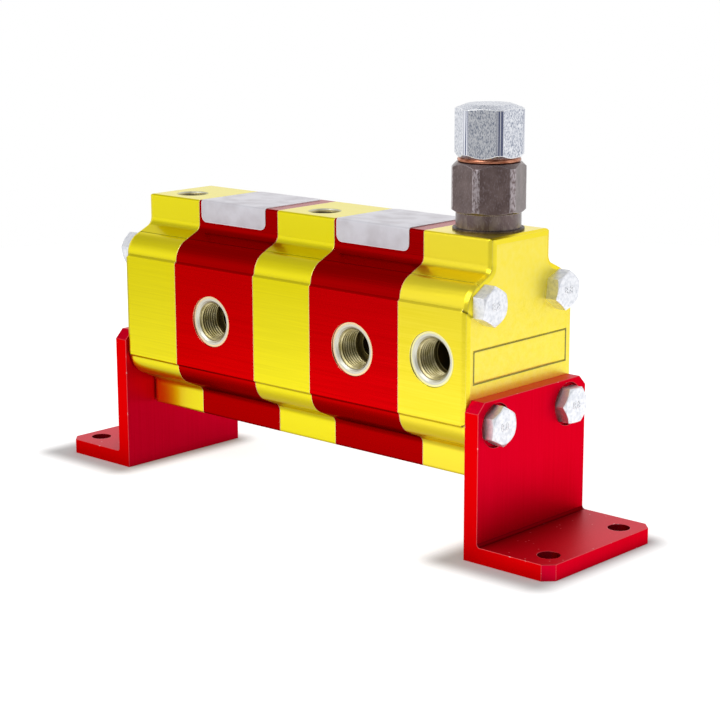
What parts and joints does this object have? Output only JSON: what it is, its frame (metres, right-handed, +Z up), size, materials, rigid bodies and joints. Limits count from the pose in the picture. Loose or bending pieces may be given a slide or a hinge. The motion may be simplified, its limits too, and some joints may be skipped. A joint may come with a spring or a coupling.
{
  "type": "gear flow divider",
  "caption": "Stacked gear flow divider with red gear sections between yellow plates, front ports, a relief valve with a cap nut, and angle feet.",
  "frame": {"origin": "centre of the bounding box's underside, on the plane under the feet", "axes": "+X along the stack towards the inlet cover with the relief valve, -Y out of the front ports, +Z up"},
  "size_m": [0.279, 0.0686, 0.1725],
  "materials": {
    "yellow_anodised": "machined and anodised yellow, glossy",
    "red_anodised": "machined and anodised red, glossy",
    "label_foil": "satin silver foil",
    "red_anodised_angle": "extruded angle, sawn, drilled and anodised red, matt",
    "zinc_steel": "bright zinc plating",
    "ground_steel": "ground bare steel",
    "spring_steel": "drawn spring wire",
    "bearing_aluminium": "bare machined aluminium",
    "bearing_bronze": "bearing bronze",
    "nitrile_rubber": "moulded nitrile rubber",
    "dark_steel": "dark oiled steel",
    "brown_steel": "brown burnished steel",
    "copper": "soft annealed copper"
  },
  "bodies": {
    "stack": {"left_end_cover": "yellow_anodised", "section_1_housing": "red_anodised", "middle_plate": "yellow_anodised", "section_2_housing": "red_anodised", "inlet_cover": "yellow_anodised", "label_1": "label_foil", "label_2": "label_foil", "left_bracket": "red_anodised_angle", "right_bracket": "red_anodised_angle", "upper_bolts_left": "zinc_steel", "upper_bolts_right": "zinc_steel", "lower_bolts_left": "zinc_steel", "lower_bolts_right": "zinc_steel", "dowel_pins": "ground_steel", "bearing_block_1_left": "bearing_aluminium", "bearing_block_1_right": "bearing_aluminium", "bearing_block_2_left": "bearing_aluminium", "bearing_block_2_right": "bearing_aluminium", "bearing_bushes": "bearing_bronze", "pressure_seals": "nitrile_rubber", "section_seals": "nitrile_rubber", "gallery_seals": "nitrile_rubber", "drain_seals": "nitrile_rubber", "valve_base_washer": "dark_steel", "valve_body": "brown_steel", "valve_nose_seal": "nitrile_rubber", "valve_seat": "ground_steel", "relief_spring": "spring_steel", "adjuster_lock_nut": "zinc_steel", "copper_washer": "copper", "cap_nut": "zinc_steel"},
    "drive_train": {"drive_gear_1": "ground_steel", "drive_coupling": "ground_steel", "drive_gear_2": "ground_steel"},
    "driven_1": {"driven_gear_1": "ground_steel"},
    "driven_2": {"driven_gear_2": "ground_steel"},
    "poppet": {"relief_poppet": "ground_steel"},
    "spring_plate": {"spring_seat": "ground_steel", "spring_seat_seal": "nitrile_rubber"},
    "adjuster": {"adjusting_screw": "ground_steel"}
  },
  "joints": [
    {"name": "drive_spin", "type": "hinge", "parent": "stack", "child": "drive_train", "pos_m": [0, 0, 0.0887], "axis": [1, 0, 0], "continuous": true},
    {"name": "driven_1_spin", "type": "hinge", "parent": "stack", "child": "driven_1", "pos_m": [0, 0, 0.0617], "axis": [1, 0, 0], "continuous": true},
    {"name": "driven_2_spin", "type": "hinge", "parent": "stack", "child": "driven_2", "pos_m": [0, 0, 0.0617], "axis": [1, 0, 0], "continuous": true},
    {"name": "poppet_lift", "type": "slide", "parent": "stack", "child": "poppet", "axis": [0, 0, 1], "range_m": [0, 0.0025], "stiffness_N_per_m": 4000, "springref_m": -0.005, "deforming": ["relief_spring"]},
    {"name": "pressure_adjust", "type": "slide", "parent": "stack", "child": "spring_plate", "axis": [0, 0, 1], "range_m": [-0.002, 0.002], "deforming": ["relief_spring"]},
    {"name": "adjuster_turn", "type": "hinge", "parent": "spring_plate", "child": "adjuster", "pos_m": [0.0798, 0.0015, 0.155], "axis": [0, 0, 1], "range_deg": [-720, 720]}
  ],
  "couplings": [
    {"joint": "driven_1_spin", "follows": "drive_spin", "ratio": -1},
    {"joint": "driven_2_spin", "follows": "drive_spin", "ratio": -1},
    {"joint": "adjuster_turn", "follows": "pressure_adjust", "rad_per_m": 6283.2}
  ]
}
